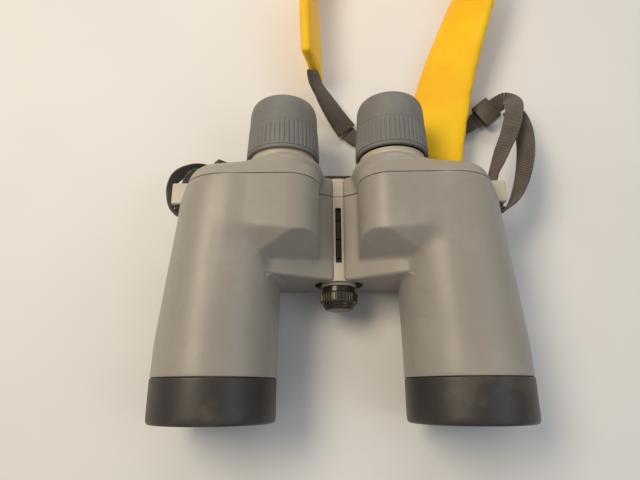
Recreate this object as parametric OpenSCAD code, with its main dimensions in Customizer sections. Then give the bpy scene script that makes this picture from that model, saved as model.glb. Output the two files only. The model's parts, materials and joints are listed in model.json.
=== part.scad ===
// Marine Porro-prism binoculars with individual-focus eyepieces and a float strap.
// Frame: +X to the right, +Y towards the eyepieces, +Z up, lying on a table at z = 0.
// A depth "d" is a distance back from the front of the objective rings.

/* [Overall] */
// Length from the objective rings to the end of the longer eyecup
overall_l = 183; // [180:1:188]
// Height of the housings above the table
housing_h = 68; // [66:0.5:68]

/* [Objectives] */
// Sideways distance of an objective axis from the hinge
objective_x = 66.5; // [66:0.1:67]
// Height of the objective axes
objective_z = 32.7; // [32.7:0.1:33.5]
// Radius of the rubber objective ring, which the housing rests on
ring_r = 32.7; // [32.5:0.1:32.7]
// Length of the rubber objective ring
ring_l = 21.8; // [20:0.1:22]
// Radius of the objective glass
glass_r = 25; // [24:0.1:25]

/* [Eyepieces] */
// Sideways distance of an eyepiece axis from the hinge
eyepiece_x = 32.4; // [32:0.1:33]
// Height of the eyepiece axes
eyepiece_z = 35.9; // [35:0.1:36.5]
// Radius of the ribbed focus ring
focus_r = 21.6; // [21.4:0.1:21.8]
// Radius of the rubber eyecup
cup_r = 20.2; // [20:0.1:20.6]
// Depth of the focus ring's front edge on the right eyepiece
focus_d = 146.5; // [146.5:0.1:148]
// How much further in the left eyepiece is screwed
left_in = 1.3; // [0:0.1:2.8]

/* [Hinge] */
// Height of the hinge axis
hinge_z = 20.5; // [20:0.1:21]
// Radius of the hinge shaft
shaft_r = 5; // [4:0.1:5.5]
// Radius of the space turned out of both housings around the hinge
hinge_space_r = 13.9; // [13.8:0.1:14.2]
// Radius of the tapped tripod hole in the front of the shaft, for a quarter-inch screw
tripod_hole_r = 3.175; // [3.175:0.001:3.175]

/* [Strap] */
// Width of the webbing
webbing_w = 11; // [9:0.5:12]
// Thickness of the webbing
webbing_t = 1.6; // [1.2:0.1:2]
// Width of the foam float
float_w = 42; // [38:1:44]
// Thickness of the foam float
float_t = 8; // [6:0.5:9]

/* [Hidden] */

$fn = 64;
hull_fn = 32;
eps = 0.01;
fit = 0.05;         // clearance between parts that do not move against each other
run = 0.04;         // radial clearance of the hinge shaft in its bushes

left = -1;
right = 1;

// Depths of the housing
seam_d = 124.2;       // where the rear cover meets the body
straight_d = 40;    // end of the parallel part of the barrel
full_d = 104;       // start of the full-size prism housing
shoulder_d = 114;   // where the shoulder starts to round in
shelf_d = 74;       // front face of the prism housing
wall = 3.4;
cavity_d = 121;     // front of the room behind the prisms
seam_gap = 0.3;
gasket_gap = 0.2;

// Light path through one pair of Porro prisms
axis_gap = norm([eyepiece_x - objective_x, eyepiece_z - objective_z]);
prism_shift = axis_gap / sqrt(2);
axis_turn = atan2(eyepiece_z - objective_z, eyepiece_x - objective_x);
first_turn = axis_turn + 45;
second_turn = axis_turn - 45;
prism_half = 21;    // half the length of a prism's long face, and its depth
prism_w = 19;
plate_d = 107.4;
plate_t = 2.4;
beam_r = 9.3;
first_centre = [objective_x, objective_z] + prism_shift / 2 * [cos(first_turn), sin(first_turn)];
turn_point = [objective_x, objective_z] + prism_shift * [cos(first_turn), sin(first_turn)];
second_centre = turn_point + prism_shift / 2 * [cos(second_turn), sin(second_turn)];

// Knuckles of the hinge: one width, shared out in turn between the halves
knuckle_d = 76;
knuckle_l = 11;
knuckle_gap = 0.4;
knuckle_r = 11.2;
bush_r = 6.5;
strip_r = [11.8, 13.4];
strip_reach = 48;   // angle of the strip's edges from straight up
web_end_d = 136;

// Eyepiece, measured from the focus ring's front edge
sleeve_r = [17, 19.2];
cell_r = 16.95;
focus_l = 18.5;
cup_l = 18;
flange_at = 4.6;
flange_l = 5;

// Strap lug
lug_d = [117.5, 130.5];
lug_x = [87.2, 95.6];
lug_z = [26, 42];
slot_x = [89.6, 92.6];
slot_h = 12;

// Routes of the strap: x, y, z and the tilt of the band from flat, all chosen by hand.
float_route = [
  [-15, 131, 21.6, 105], [-16, 150, 22, 104], [-17, 175, 22, 102], [-18, 200, 22, 98],
  [-18, 220, 22, 94], [-16, 236, 22, 90], [-9, 252, 22, 90], [5, 265, 22, 90], [25, 273, 22, 90],
  [48, 275, 22, 90], [72, 272, 22, 90], [92, 262, 22, 92], [105, 246, 22, 100],
  [108, 228, 22, 112], [105, 212, 21, 122], [100, 196, 20, 131], [93, 177, 19, 139],
  [86, 158, 17.5, 144], [79, 138, 16, 150], [73, 118, 14.6, 155], [68, 98, 13.8, 160],
  [64, 80, 12.4, 163], [61, 63.5, 11, 165]];
left_tab_route = [
  [-15.5, 129, 23, 60], [-13, 121, 19, 48], [-8, 114, 14, 35], [-2, 106, 9, 22], [3, 100, 5, 12],
  [7.6, 94.5, 2.8, 4]];
right_tab_route = [
  [60.8, 62, 8.6, 166], [59.6, 60.2, 6, 170], [56.5, 58.8, 3.2, 176], [50, 58, 1.7, 180]];
cross_route = [
  [8, 94, 1.3, 0], [14, 89, 1.2, 0], [24, 85, 1.2, 0], [37, 84, 1.2, 0], [50, 87, 1.2, 0],
  [63, 90, 1.3, 0], [75, 92.5, 1.8, 2], [85, 95, 3, 6], [94.1, 99.2, 4.3, 8]];
right_route = [
  [91.1, 34, 34, 90], [91, 40, 34.5, 84], [92, 46, 35.5, 72], [95, 53, 36.5, 58],
  [99, 62, 36.5, 46], [104, 72, 35, 36], [109, 84, 32, 30], [113, 96, 28, 25],
  [114.6, 104, 22, 21], [113, 109, 15.5, 18], [108, 108.2, 10.2, 14], [102.5, 104.6, 7.4, 10],
  [98, 101.6, 5.6, 9], [94.7, 99.5, 4.5, 8]];
right_loop_route = [
  [91.1, 32, 34, 90], [91.3, 28, 34, 90], [91.7, 26, 34, 90], [92.9, 24.4, 34, 90],
  [94.8, 23.5, 33.5, 90], [98, 24.8, 33, 86], [103, 30, 33, 74], [108, 40, 33, 60],
  [112, 52, 32.5, 48], [115.5, 66, 30, 38], [117.5, 80, 26, 32], [117.5, 92, 21, 28],
  [115, 101, 16.5, 26]];
left_route = [
  [-91.1, 34, 34, 90], [-91, 40, 33, 90], [-90, 46, 30, 90], [-88, 51, 25, 90], [-84, 55, 19, 80],
  [-78, 58, 12, 50], [-71, 59, 6, 20], [-64, 59, 3, 5], [-52, 58, 1.4, 0], [-38, 57, 1.2, 0],
  [-22, 56, 1.2, 0], [-6, 56, 1.2, 0], [10, 56, 1.2, 0], [26, 57, 1.2, 0], [40, 58, 1.2, 0],
  [50, 58, 1.2, 0]];
left_loop_route = [
  [-91.1, 32, 34, 90], [-91.3, 28, 34, 90], [-91.7, 26, 34, 90], [-92.9, 24.4, 34, 90],
  [-94.6, 23.6, 34, 90], [-96.8, 25, 34, 90], [-98.8, 31, 34, 90], [-99.4, 38, 34, 90],
  [-98, 45, 33, 90], [-95, 51, 29, 90], [-90, 56.5, 23.6, 84], [-84, 60.5, 18, 64],
  [-77, 62.5, 13, 40]];

function yd(d) = d - overall_l / 2;

// ---- helpers -------------------------------------------------------------------------------

// Puts a part made for the right half on either half
module half(side) {
  mirror([side < 0 ? 1 : 0, 0, 0]) children();
}

// Round bar along Y from depth d0 to depth d1
module bar(x, z, r, d0, d1) {
  translate([x, yd(d0), z]) rotate([-90, 0, 0]) cylinder(r = r, h = d1 - d0);
}

module tube(x, z, r_in, r_out, d0, d1) {
  difference() {
    bar(x, z, r_out, d0, d1);
    bar(x, z, r_in, d0 - 1, d1 + 1);
  }
}

// Thin round slice for a hull
module slice(x, z, r, d, t = 0.2) {
  translate([x, yd(d), z]) rotate([-90, 0, 0]) cylinder(r = r, h = t, $fn = hull_fn);
}

// Turned part along Y: profile points are [radius, depth]
module turned(x, z, profile) {
  translate([x, yd(0), z]) rotate([-90, 0, 0]) rotate_extrude() polygon(profile);
}

// Straight extrusion along Y of an outline drawn in X and Z
module along_y(d0, d1) {
  translate([0, yd(d1), 0]) rotate([90, 0, 0]) linear_extrude(d1 - d0) children();
}

// Band swept along a route: eight sides, flat, turned about its path by the route's tilt
function unit(v) = v / max(norm(v), eps);
function ahead(route, i) =
  let (a = route[max(i - 1, 0)], b = route[min(i + 1, len(route) - 1)])
  unit([b[0] - a[0], b[1] - a[1], b[2] - a[2]]);
function ring_points(route, i, w, t) =
  let (
    along = ahead(route, i),
    level = unit(cross(along, [0, 0, 1])),
    rise = cross(level, along),
    across = level * cos(route[i][3]) + rise * sin(route[i][3]),
    normal = cross(along, across),
    centre = [route[i][0], route[i][1], route[i][2]])
  [for (k = [[1, -1], [1, 1], [0.8, 2], [-0.8, 2], [-1, 1], [-1, -1], [-0.8, -2], [0.8, -2]])
    centre + across * k[0] * w / 2 + normal * k[1] * t / 4];
module band(route, w, t) {
  sides = 8;
  last = len(route) - 1;
  points = [for (i = [0:last]) each ring_points(route, i, w, t)];
  walls = [for (i = [0:last - 1], k = [0:sides - 1])
    let (a = i * sides + k, b = i * sides + (k + 1) % sides)
    each [[a, b, b + sides], [a, b + sides, a + sides]]];
  start = [[for (k = [sides - 1:-1:0]) k]];
  end = [[for (k = [0:sides - 1]) last * sides + k]];
  polyhedron(points, concat(walls, start, end), convexity = 6);
}

// ---- housings ------------------------------------------------------------------------------

// Outer shape of barrel and prism housing, in three blended lumps
module barrel_shape() {
  hull() {
    slice(objective_x, objective_z, ring_r, ring_l + seam_gap, straight_d - ring_l);
    for (x = [60, 65.2], z = [26, 42]) slice(x, z, 26, full_d, shoulder_d - full_d);
  }
  hull() {
    for (x = [60, 65.2], z = [26, 42]) slice(x, z, 26, shoulder_d - eps);
    for (x = [60, 63.9], z = [24, 44]) slice(x, z, 24, seam_d - 0.2);
  }
}

// Raised part over the eyepiece side, ending in a steep three-cornered face
module bulge_shape() {
  hull() {
    slice(28, 51, 17, 95, seam_d - 95);
    slice(24, 13.1, 13, 92, seam_d - 92);
    slice(56, 42, 26, 95, seam_d - 95);
    slice(22, 33, 9, 86);
    slice(44, 42, 12, 86);
    slice(52, 30, 20, 86);
  }
}

// Lower shelf that runs across to the hinge
module web_outline() {
  polygon([[2.9, 34.3], [12, 39], [30, 49.5], [43, 56], [56, 50], [56, 16], [37, 16.5],
    [33, 13], [28, 8], [5, 8]]);
}

module hinge_space(d0, d1) {
  bar(0, hinge_z, hinge_space_r, d0, d1);
}

// Inside of the prism housing
module chamber_outline(grow) {
  hull() {
    for (z = [26, 42]) translate([64.5, z]) circle(21.4 + grow, $fn = hull_fn);
    translate([31, 48]) circle(15 + grow, $fn = hull_fn);
    translate([30, 19]) circle(13 + grow, $fn = hull_fn);
  }
}

// Porro prism with its long face at depth d, pointing forwards or backwards
module prism(centre, turn, d, toward, grow = 0) {
  translate([centre[0], yd(d), centre[1]])
    mirror([0, toward > 0 ? 0 : 1, 0])
      rotate([0, -turn, 0])
        linear_extrude(prism_w + 2 * grow, center = true)
          polygon([[-prism_half - 2 * grow, -grow], [prism_half + 2 * grow, -grow],
            [0, prism_half + 1.5 * grow]]);
}

module lug_pocket() {
  translate([lug_x[0] - fit, yd(lug_d[0]) - fit, lug_z[0] - fit])
    cube([lug_x[1] - lug_x[0], lug_d[1] - lug_d[0] + 2 * fit, lug_z[1] - lug_z[0] + 2 * fit]);
}

// Knuckles in this half's turns along the hinge, each joined to the web by a spoke
module knuckles(first, bore_r) {
  for (i = [first, first + 2]) {
    d0 = knuckle_d + i * (knuckle_l + knuckle_gap);
    difference() {
      union() {
        bar(0, hinge_z, knuckle_r, d0, d0 + knuckle_l);
        translate([0, yd(d0), hinge_z]) rotate([0, 20, 0])
          translate([knuckle_r - 3, 0, -3.2]) cube([6.4, knuckle_l, 6.4]);
      }
      bar(0, hinge_z, bore_r, d0 - 1, d0 + knuckle_l + 1);
    }
  }
}

module body(first_knuckle, bore_r) {
  difference() {
    union() {
      barrel_shape();
      bulge_shape();
      along_y(shelf_d, seam_d) web_outline();
      bar(objective_x, objective_z, 30.4, 7, ring_l + 1);
    }
    hinge_space(shelf_d - 1, seam_d + 1);
    bar(objective_x, objective_z, 28.5, 6, 50);
    bar(objective_x, objective_z, 24, 49, 100);
    along_y(plate_d, seam_d + 1) chamber_outline(0.3);
    along_y(99, plate_d + eps) chamber_outline(-1);
    prism(second_centre, second_turn, plate_d, -1, 0.8);
    lug_pocket();
  }
  knuckles(first_knuckle, bore_r);
}

module left_body() {
  color([0.60, 0.57, 0.52]) half(left) body(0, shaft_r + fit);
}

module right_body() {
  color([0.60, 0.57, 0.52]) half(right) body(1, bush_r + fit);
}

module rear_cover() {
  difference() {
    union() {
      hull() {
        for (x = [60, 63.9], z = [24, 44]) slice(x, z, 24, seam_d + gasket_gap, 3);
        slice(28, 51, 17, seam_d + gasket_gap, 6);
        slice(24, 13.1, 13, seam_d + gasket_gap, 3);
        slice(eyepiece_x, 38, 24, 141);
        for (z = [22, 46]) slice(68, z, 14, 134.3);
      }
      along_y(seam_d + gasket_gap, web_end_d) web_outline();
    }
    hinge_space(seam_d - 1, 150);
    hull() {
      for (z = [26, 42]) slice(64, z, 20.5, cavity_d);
      slice(31, 47, 14, cavity_d);
      slice(30, 19, 12.5, cavity_d);
      for (z = [28, 40]) slice(62, z, 14, 132);
      slice(eyepiece_x, eyepiece_z, 18, 133);
    }
    bar(eyepiece_x, eyepiece_z, sleeve_r[1] + fit, 130, 150);
    for (p = screw_spots) bar(p[0], p[1], 2.6, p[2] - 2.4, 150);
    for (p = screw_spots) bar(p[0], p[1], 1.25, p[2] - 12, p[2] - 2);
    lug_pocket();
  }
}

// Screw places on the rear cover: x, z and the depth of the cover's face there
screw_spots = [[59, 57.5, 134.5], [76, 20, 132.5], [50, 10.5, 133]];

module left_rear_cover() {
  color([0.62, 0.59, 0.54]) half(left) rear_cover();
}

module right_rear_cover() {
  color([0.62, 0.59, 0.54]) half(right) rear_cover();
}

module cover_screws() {
  for (p = screw_spots) {
    difference() {
      union() {
        bar(p[0], p[1], 2.5, p[2] - 2.35, p[2] - 0.6);
        bar(p[0], p[1], 1.2, p[2] - 7.8, p[2] - 2.3);
      }
      translate([p[0] - 1.6, yd(p[2] - 1.3), p[1] - 0.3]) cube([3.2, 2, 0.6]);
      translate([p[0] - 0.3, yd(p[2] - 1.3), p[1] - 1.6]) cube([0.6, 2, 3.2]);
    }
  }
}

module left_cover_screws() {
  color([0.45, 0.43, 0.40]) half(left) cover_screws();
}

module right_cover_screws() {
  color([0.45, 0.43, 0.40]) half(right) cover_screws();
}

module strap_lug() {
  slot_z = (lug_z[0] + lug_z[1] - slot_h) / 2;
  difference() {
    translate([lug_x[0], yd(lug_d[0]), lug_z[0]])
      cube([lug_x[1] - lug_x[0], lug_d[1] - lug_d[0], lug_z[1] - lug_z[0]]);
    translate([slot_x[0], yd(lug_d[0]) - 1, slot_z])
      cube([slot_x[1] - slot_x[0], lug_d[1] - lug_d[0] + 2, slot_h]);
  }
}

module left_strap_lug() {
  color([0.82, 0.77, 0.66]) half(left) strap_lug();
}

module right_strap_lug() {
  color([0.82, 0.77, 0.66]) half(right) strap_lug();
}

// ---- objectives ----------------------------------------------------------------------------

module objective_ring() {
  turned(objective_x, objective_z, [[30.5, ring_l], [30.5, 6.5], [26.6, 6.5], [26.6, 1.5],
    [27.6, 0.4], [29, 0], [30.9, 0], [32, 0.5], [32.5, 1.4], [ring_r, 2.6], [ring_r, ring_l]]);
}

module left_objective_ring() {
  color([0.16, 0.15, 0.14]) half(left) objective_ring();
}

module right_objective_ring() {
  color([0.16, 0.15, 0.14]) half(right) objective_ring();
}

module objective_cell() {
  cell_out = 28.45;
  turned(objective_x, objective_z, [[glass_r + fit, 8], [cell_out, 8], [cell_out, 34],
    [23.5, 34], [23.5, 24.2], [glass_r + fit, 24.2]]);
}

module left_objective_cell() {
  color([0.10, 0.10, 0.10]) half(left) objective_cell();
}

module right_objective_cell() {
  color([0.10, 0.10, 0.10]) half(right) objective_cell();
}

// Lens of radius r between depths d0 and d1, with each face bowed out by its own depth
module lens(x, z, r, d0, d1, bow0, bow1) {
  steps = 10;
  turned(x, z, concat(
    [for (i = [0:steps]) [r * i / steps, d0 - bow0 * (1 - pow(i / steps, 2))]],
    [for (i = [steps:-1:0]) [r * i / steps, d1 + bow1 * (1 - pow(i / steps, 2))]]));
}

module crown_lens() {
  lens(objective_x, objective_z, glass_r, 14.5, 17.5, 2.6, 2.2);
}

module flint_lens() {
  lens(objective_x, objective_z, glass_r, 20, 24, -2.2, 0.6);
}

module left_crown_lens() {
  color([0.55, 0.70, 0.66]) half(left) crown_lens();
}

module right_crown_lens() {
  color([0.55, 0.70, 0.66]) half(right) crown_lens();
}

module left_flint_lens() {
  color([0.60, 0.68, 0.70]) half(left) flint_lens();
}

module right_flint_lens() {
  color([0.60, 0.68, 0.70]) half(right) flint_lens();
}

module lens_retainer() {
  tube(objective_x, objective_z, 23.6, glass_r, 10, 14.1);
}

module left_lens_retainer() {
  color([0.08, 0.08, 0.08]) half(left) lens_retainer();
}

module right_lens_retainer() {
  color([0.08, 0.08, 0.08]) half(right) lens_retainer();
}

// Seal between the two glasses' spacer and the cell
module objective_seal() {
  tube(objective_x, objective_z, 23.8, glass_r, 17.9, 19.9);
}

module left_objective_seal() {
  color([0.05, 0.05, 0.05]) half(left) objective_seal();
}

module right_objective_seal() {
  color([0.05, 0.05, 0.05]) half(right) objective_seal();
}

// ---- prisms --------------------------------------------------------------------------------

module front_prism() {
  prism(second_centre, second_turn, plate_d - 0.1, -1);
}

module rear_prism() {
  prism(first_centre, first_turn, plate_d + plate_t + 0.1, 1);
}

module left_front_prism() {
  color([0.75, 0.82, 0.85]) half(left) front_prism();
}

module right_front_prism() {
  color([0.75, 0.82, 0.85]) half(right) front_prism();
}

module left_rear_prism() {
  color([0.75, 0.82, 0.85]) half(left) rear_prism();
}

module right_rear_prism() {
  color([0.75, 0.82, 0.85]) half(right) rear_prism();
}

module prism_plate() {
  beams = [[objective_x, objective_z], turn_point, [eyepiece_x, eyepiece_z]];
  difference() {
    along_y(plate_d, plate_d + plate_t) chamber_outline(0.2);
    for (p = beams) bar(p[0], p[1], beam_r, plate_d - 1, plate_d + plate_t + 1);
  }
}

module left_prism_plate() {
  color([0.35, 0.35, 0.36]) half(left) prism_plate();
}

module right_prism_plate() {
  color([0.35, 0.35, 0.36]) half(right) prism_plate();
}

// ---- eyepieces -----------------------------------------------------------------------------

// Fixed sleeve in the rear cover that the eyepiece screws in
module eyepiece_sleeve() {
  tube(eyepiece_x, eyepiece_z, sleeve_r[0], sleeve_r[1], 134.5, 145.8);
}

module left_eyepiece_sleeve() {
  color([0.82, 0.77, 0.66]) half(left) eyepiece_sleeve();
}

module right_eyepiece_sleeve() {
  color([0.82, 0.77, 0.66]) half(right) eyepiece_sleeve();
}

// Lens tube that moves in and out, with f the depth of its focus ring's front edge
module eyepiece_cell(f) {
  turned(eyepiece_x, eyepiece_z, [[14.5, f - 14], [cell_r, f - 14], [cell_r, f + 10],
    [18.8, f + 10], [18.8, f + 11.5], [15.5, f + 11.5], [15.5, f + 20], [11.1, f + 20],
    [11.1, f + 12], [14.5, f + 12]]);
}

module field_lens(f) {
  lens(eyepiece_x, eyepiece_z, 14.45, f - 9, f - 7, 0.6, 2.2);
}

module eye_lens(f) {
  lens(eyepiece_x, eyepiece_z, 11.05, f + 14, f + 17, 1.8, -0.8);
}

// Focus ring: an inner flange turns on the lens tube, and fine ribs run along the outside
module focus_ring(f) {
  ribs = 48;
  difference() {
    turned(eyepiece_x, eyepiece_z, [[19.6, f], [focus_r - 0.4, f], [focus_r, f + 0.5],
      [focus_r, f + 2.2], [focus_r - 1, f + focus_l], [16.2, f + focus_l],
      [16.2, f + 12], [19.6, f + 12], [19.6, f + flange_at + flange_l], [cell_r + fit, f + flange_at + flange_l],
      [cell_r + fit, f + flange_at], [19.6, f + flange_at]]);
    for (i = [0:ribs - 1])
      translate([eyepiece_x, yd(f + 3.2), eyepiece_z]) rotate([0, i * 360 / ribs, 0])
        translate([focus_r - 0.75, 0, -0.45]) cube([2, focus_l - 3.6, 0.9]);
  }
}

// Rubber eyecup with a rolled rear edge
module eyecup(f) {
  c = f + focus_l;
  turned(eyepiece_x, eyepiece_z, [[16.2, c + fit], [cup_r + 0.3, c + fit], [cup_r, c + 6],
    [cup_r - 0.1, c + cup_l - 6.5], [cup_r - 0.9, c + cup_l - 3.4],
    [cup_r - 2.4, c + cup_l - 1.1], [cup_r - 4.2, c + cup_l - 0.2], [cup_r - 5.4, c + cup_l],
    [cup_r - 6.8, c + cup_l - 0.9], [cup_r - 7.2, c + cup_l - 2.4], [cup_r - 5.6, c + cup_l - 4.4],
    [16.2, c + 8]]);
}

left_f = focus_d - left_in;

module left_eyepiece_cell() {
  color([0.12, 0.12, 0.12]) half(left) eyepiece_cell(left_f);
}

module right_eyepiece_cell() {
  color([0.12, 0.12, 0.12]) half(right) eyepiece_cell(focus_d);
}

module left_field_lens() {
  color([0.60, 0.66, 0.70]) half(left) field_lens(left_f);
}

module right_field_lens() {
  color([0.60, 0.66, 0.70]) half(right) field_lens(focus_d);
}

module left_eye_lens() {
  color([0.60, 0.66, 0.70]) half(left) eye_lens(left_f);
}

module right_eye_lens() {
  color([0.60, 0.66, 0.70]) half(right) eye_lens(focus_d);
}

module left_focus_ring() {
  color([0.38, 0.38, 0.37]) half(left) focus_ring(left_f);
}

module right_focus_ring() {
  color([0.38, 0.38, 0.37]) half(right) focus_ring(focus_d);
}

module left_eyecup() {
  color([0.40, 0.40, 0.39]) half(left) eyecup(left_f);
}

module right_eyecup() {
  color([0.40, 0.40, 0.39]) half(right) eyecup(focus_d);
}

// ---- hinge ---------------------------------------------------------------------------------

// Shaft through all four knuckles, with the tapped tripod boss at its front
module hinge_shaft() {
  color([0.30, 0.29, 0.28]) difference() {
    union() {
      bar(0, hinge_z, shaft_r, 62, 124.5);
      bar(0, hinge_z, 7.5, 63, 75.6);
      bar(0, hinge_z, 9.6, 73, 75.6);
    }
    bar(0, hinge_z, tripod_hole_r, 60, 73);
    bar(0, hinge_z, 5.2, 61, 63);
  }
}

module hinge_bushes() {
  color([0.70, 0.55, 0.30])
    for (i = [1, 3]) {
      d0 = knuckle_d + i * (knuckle_l + knuckle_gap);
      tube(0, hinge_z, shaft_r + run, bush_r, d0, d0 + knuckle_l);
    }
}

module hinge_washers() {
  color([0.55, 0.54, 0.52])
    for (i = [1:3]) {
      d1 = knuckle_d + i * (knuckle_l + knuckle_gap);
      tube(0, hinge_z, shaft_r + fit, 10.4, d1 - knuckle_gap + fit, d1 - fit);
    }
}

// Curved strip over the hinge, with a long slot
module hinge_strip() {
  color([0.82, 0.77, 0.66]) difference() {
    translate([0, yd(shelf_d), hinge_z]) rotate([-90, 0, 0])
      rotate([0, 0, -90 - strip_reach])
        rotate_extrude(angle = 2 * strip_reach)
          translate([strip_r[0], 0]) square([strip_r[1] - strip_r[0], web_end_d - shelf_d]);
    translate([-1.7, yd(84.4), hinge_z]) cube([3.4, 33, 20]);
  }
}

// Round plug that closes the rear of the hinge and carries the shaft's end
module hinge_end_cap() {
  color([0.80, 0.75, 0.64]) difference() {
    turned(0, hinge_z, [[0, 121.8], [11.4, 121.8], [11.4, 134.6], [10.2, 135.8],
      [0, 135.8]]);
    bar(0, hinge_z, shaft_r + fit, 120, 124.6);
  }
}

// Screw cap over the tripod boss, stepped, with a knurled edge
module tripod_cap() {
  notches = 36;
  color([0.14, 0.11, 0.09]) difference() {
    turned(0, hinge_z, [[0, 59.4], [7, 59.4], [8.1, 60], [8.4, 61.2], [8.9, 61.6], [9.2, 63],
      [10.2, 63.4], [10.8, 64], [10.8, 68.4], [10.2, 69], [9.4, 69.4], [9.4, 72.4], [7.9, 72.4],
      [7.9, 61.7], [0, 61.7]]);
    for (i = [0:notches - 1])
      translate([0, yd(63.2), hinge_z]) rotate([0, i * 360 / notches, 0])
        translate([10.4, 0, -0.4]) cube([1, 6, 0.8]);
  }
}

// ---- strap ---------------------------------------------------------------------------------

module float_pad() {
  color([1.00, 0.74, 0.02]) band(float_route, float_w, float_t);
}

module left_tab() {
  color([0.16, 0.13, 0.11]) band(left_tab_route, webbing_w + 4, 3);
}

module right_tab() {
  color([0.16, 0.13, 0.11]) band(right_tab_route, webbing_w + 4, 3);
}

module left_webbing() {
  color([0.20, 0.17, 0.14]) band(left_route, webbing_w, webbing_t);
}

module left_loop() {
  color([0.20, 0.17, 0.14]) band(left_loop_route, webbing_w, webbing_t);
}

module right_webbing() {
  color([0.20, 0.17, 0.14]) band(right_route, webbing_w, webbing_t);
}

module right_loop() {
  color([0.20, 0.17, 0.14]) band(right_loop_route, webbing_w, webbing_t);
}

module cross_webbing() {
  color([0.20, 0.17, 0.14]) band(cross_route, webbing_w, webbing_t);
}

// Flat keeper around the webbing
module keeper(centre, turn, tilt) {
  translate(centre) rotate([0, 0, turn]) rotate([0, tilt, 0]) difference() {
    cube([12, webbing_w + 5, 6.6], center = true);
    cube([14, webbing_w + 1.4, 4.6], center = true);
  }
}

module left_keeper() {
  color([0.12, 0.10, 0.09]) keeper([-74.5, 59.8, 9], -6, 38);
}

module right_keeper() {
  color([0.12, 0.10, 0.09]) keeper([102.5, 104.6, 7.4], 35, -20);
}

left_body();
left_rear_cover();
left_objective_ring();
left_objective_cell();
left_crown_lens();
left_flint_lens();
left_lens_retainer();
left_objective_seal();
left_front_prism();
left_rear_prism();
left_prism_plate();
left_cover_screws();
left_eyepiece_sleeve();
left_strap_lug();
left_eyepiece_cell();
left_field_lens();
left_eye_lens();
left_focus_ring();
left_eyecup();
right_body();
right_rear_cover();
right_objective_ring();
right_objective_cell();
right_crown_lens();
right_flint_lens();
right_lens_retainer();
right_objective_seal();
right_front_prism();
right_rear_prism();
right_prism_plate();
right_cover_screws();
right_eyepiece_sleeve();
right_strap_lug();
right_eyepiece_cell();
right_field_lens();
right_eye_lens();
right_focus_ring();
right_eyecup();
hinge_shaft();
hinge_bushes();
hinge_washers();
hinge_strip();
hinge_end_cap();
tripod_cap();
float_pad();
left_tab();
right_tab();
left_webbing();
left_loop();
left_keeper();
right_webbing();
right_loop();
right_keeper();
cross_webbing();
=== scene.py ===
import json
import math
import bmesh
import bpy
import numpy as np
from mathutils import Matrix, Vector


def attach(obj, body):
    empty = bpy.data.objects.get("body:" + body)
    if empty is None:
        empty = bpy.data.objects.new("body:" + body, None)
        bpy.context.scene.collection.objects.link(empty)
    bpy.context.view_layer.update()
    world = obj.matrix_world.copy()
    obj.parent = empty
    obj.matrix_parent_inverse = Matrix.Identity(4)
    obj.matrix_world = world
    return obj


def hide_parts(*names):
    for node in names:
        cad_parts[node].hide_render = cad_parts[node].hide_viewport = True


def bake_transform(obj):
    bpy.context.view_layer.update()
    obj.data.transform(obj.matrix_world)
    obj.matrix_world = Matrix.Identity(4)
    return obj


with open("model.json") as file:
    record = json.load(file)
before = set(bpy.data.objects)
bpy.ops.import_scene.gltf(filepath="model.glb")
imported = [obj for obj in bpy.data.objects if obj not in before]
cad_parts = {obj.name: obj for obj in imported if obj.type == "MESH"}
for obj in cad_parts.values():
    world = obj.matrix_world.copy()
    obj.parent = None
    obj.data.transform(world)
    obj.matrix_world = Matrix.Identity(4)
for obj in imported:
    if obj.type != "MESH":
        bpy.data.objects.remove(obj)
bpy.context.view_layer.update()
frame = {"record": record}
sides = {"left": -1, "right": 1}
mm = 0.001
midDepth = 91.5                 # a depth is measured back from the front of the objective rings



def putMesh(name, points, faces, uv=None):
    # points in millimetres, faces all quads or all triangles, uv one pair for each face corner
    mesh = bpy.data.meshes.new(name)
    sidesOf = faces.shape[1]
    mesh.vertices.add(len(points))
    mesh.vertices.foreach_set("co", (np.asarray(points, np.float32) * mm).ravel())
    mesh.loops.add(faces.size)
    mesh.loops.foreach_set("vertex_index", faces.astype(np.int32).ravel())
    mesh.polygons.add(len(faces))
    mesh.polygons.foreach_set("loop_start", np.arange(0, faces.size, sidesOf, dtype=np.int32))
    mesh.polygons.foreach_set("loop_total", np.full(len(faces), sidesOf, np.int32))
    mesh.polygons.foreach_set("use_smooth", np.ones(len(faces), bool))
    if uv is not None:
        mesh.uv_layers.new(name="UVMap").data.foreach_set("uv", uv.astype(np.float32).ravel())
    mesh.update(calc_edges=True)
    mesh.validate()
    piece = bpy.data.objects.new(name, mesh)
    bpy.context.scene.collection.objects.link(piece)
    return piece


def gridFaces(rows, cols, closeRows, closeCols, flip):
    # corner numbers of every quad of a grid, which may close on itself either way
    i = np.arange(rows if closeRows else rows - 1)[:, None]
    j = np.arange(cols if closeCols else cols - 1)[None, :]
    a = i * cols + j
    b = i * cols + (j + 1) % cols
    c = (i + 1) % rows * cols + (j + 1) % cols
    d = (i + 1) % rows * cols + j
    order = (a, d, c, b) if flip else (a, b, c, d)
    return np.stack([k.ravel() for k in np.broadcast_arrays(*order)], axis=1)


def gridMesh(name, grid, closeRows=False, closeCols=True, flip=False, uv=None):
    rows, cols = grid.shape[:2]
    faces = gridFaces(rows, cols, closeRows, closeCols, flip)
    piece = putMesh(name, grid.reshape(-1, 3), faces, None if uv is None else uv[faces])
    tidyMesh(piece)
    return piece


def tidyMesh(piece, apart=0.000002):
    # joins points that meet, and drops the empty faces that this leaves
    work = bmesh.new()
    work.from_mesh(piece.data)
    bmesh.ops.remove_doubles(work, verts=work.verts, dist=apart)
    bmesh.ops.dissolve_degenerate(work, edges=work.edges, dist=apart / 4)
    work.to_mesh(piece.data)
    work.free()


def applyModifier(piece, modifier):
    with bpy.context.temp_override(object=piece, active_object=piece, selected_objects=[piece]):
        bpy.ops.object.modifier_apply(modifier=modifier.name)


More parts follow.
